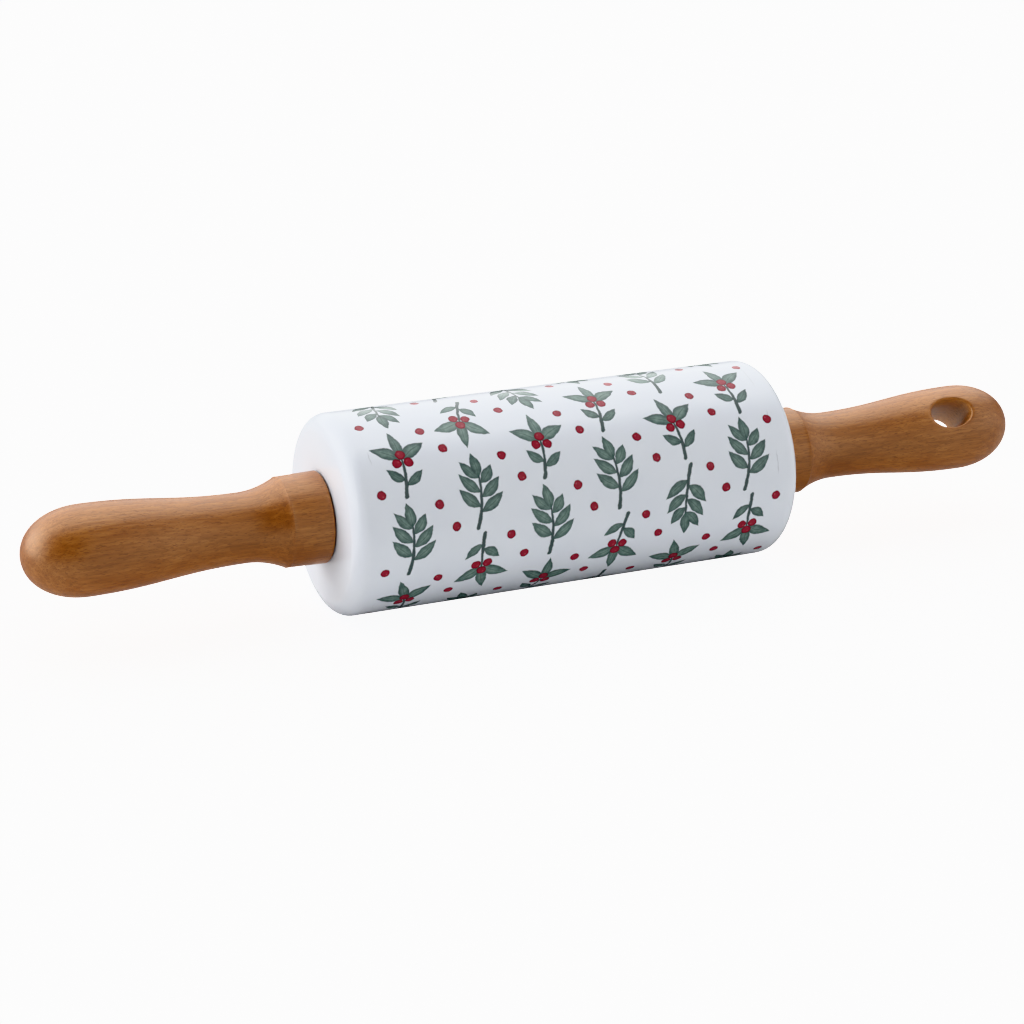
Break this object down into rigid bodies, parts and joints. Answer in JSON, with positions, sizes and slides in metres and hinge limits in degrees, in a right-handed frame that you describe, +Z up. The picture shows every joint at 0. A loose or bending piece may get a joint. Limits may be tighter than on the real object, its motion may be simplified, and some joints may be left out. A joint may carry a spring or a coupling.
{
  "type": "mini rolling pin",
  "caption": "Mini rolling pin: a glazed ceramic barrel spins freely on a steel axle between turned wooden handles, with a hanging hole in one handle end.",
  "frame": {"origin": "on the surface the barrel rests on, under the middle of the pin", "axes": "+X along the pin towards the handle with the hanging hole, +Z up"},
  "size_m": [0.2462, 0.046, 0.046],
  "materials": {
    "glazed_ceramic": "glossy white glaze with a printed pattern of leaves and berries",
    "beech": "oiled, satin, fine grain along the handle",
    "steel": "drawn",
    "nylon": "natural nylon, satin",
    "fibre": "dark fibre, matte",
    "brass": "turned"
  },
  "bodies": {
    "handles": {"left_handle": "beech", "right_handle": "beech", "axle_rod": "steel", "left_insert": "brass", "right_insert": "brass", "left_washer": "fibre", "right_washer": "fibre"},
    "roller": {"roller_barrel": "glazed_ceramic", "left_bush": "nylon", "right_bush": "nylon"}
  },
  "joints": [
    {"name": "roller_spin", "type": "hinge", "parent": "handles", "child": "roller", "pos_m": [0, 0, 0.023], "axis": [1, 0, 0], "continuous": true}
  ]
}
